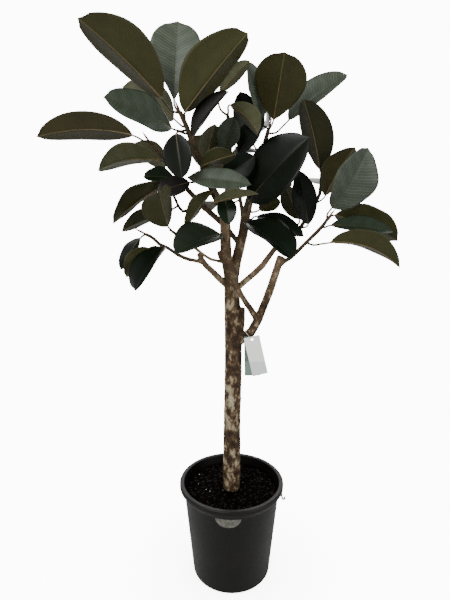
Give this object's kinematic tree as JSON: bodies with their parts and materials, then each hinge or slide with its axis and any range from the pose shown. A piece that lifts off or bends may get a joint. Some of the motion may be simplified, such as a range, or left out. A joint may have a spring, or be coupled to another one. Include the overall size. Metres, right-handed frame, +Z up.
{
  "type": "potted rubber plant",
  "caption": "Rubber plant grown as a small tree: a bare woody trunk that forks into limbs with large leathery leaves, standing in a tapered nursery pot of soil",
  "frame": {"origin": "centre of the pot's underside, on the floor", "axes": "+Z up, +X to the plant's right as seen from its front, front facing -Y"},
  "size_m": [1.0075, 0.6307, 1.6941],
  "materials": {
    "nursery_plastic": "satin",
    "potting_soil": "matte",
    "bark": "matte",
    "leaf": "satin",
    "sticker": "satin",
    "care_card": "satin",
    "tie_wire": "satin"
  },
  "bodies": {
    "root": {"pot": "nursery_plastic", "soil": "potting_soil", "trunk": "bark", "pot_label": "sticker", "care_card_front": "care_card", "care_card_back": "care_card", "card_tie": "tie_wire", "leaf_01": "leaf", "leaf_02": "leaf", "leaf_03": "leaf", "leaf_04": "leaf", "leaf_05": "leaf", "leaf_06": "leaf", "leaf_07": "leaf", "leaf_08": "leaf", "leaf_09": "leaf", "leaf_10": "leaf", "leaf_11": "leaf", "leaf_12": "leaf", "leaf_13": "leaf", "leaf_14": "leaf", "leaf_15": "leaf", "leaf_16": "leaf", "leaf_17": "leaf", "leaf_18": "leaf", "leaf_19": "leaf", "leaf_20": "leaf", "leaf_21": "leaf", "leaf_22": "leaf", "leaf_23": "leaf", "leaf_24": "leaf", "leaf_25": "leaf", "leaf_26": "leaf", "leaf_27": "leaf", "leaf_28": "leaf", "leaf_29": "leaf", "leaf_30": "leaf", "leaf_31": "leaf", "leaf_32": "leaf", "leaf_33": "leaf", "leaf_34": "leaf", "leaf_35": "leaf", "leaf_36": "leaf", "leaf_37": "leaf", "leaf_38": "leaf", "leaf_39": "leaf", "leaf_40": "leaf", "leaf_41": "leaf", "leaf_42": "leaf", "leaf_43": "leaf", "leaf_44": "leaf", "leaf_45": "leaf", "leaf_46": "leaf", "leaf_47": "leaf", "leaf_48": "leaf", "leaf_49": "leaf", "leaf_50": "leaf", "leaf_51": "leaf", "leaf_52": "leaf"}
  },
  "joints": []
}
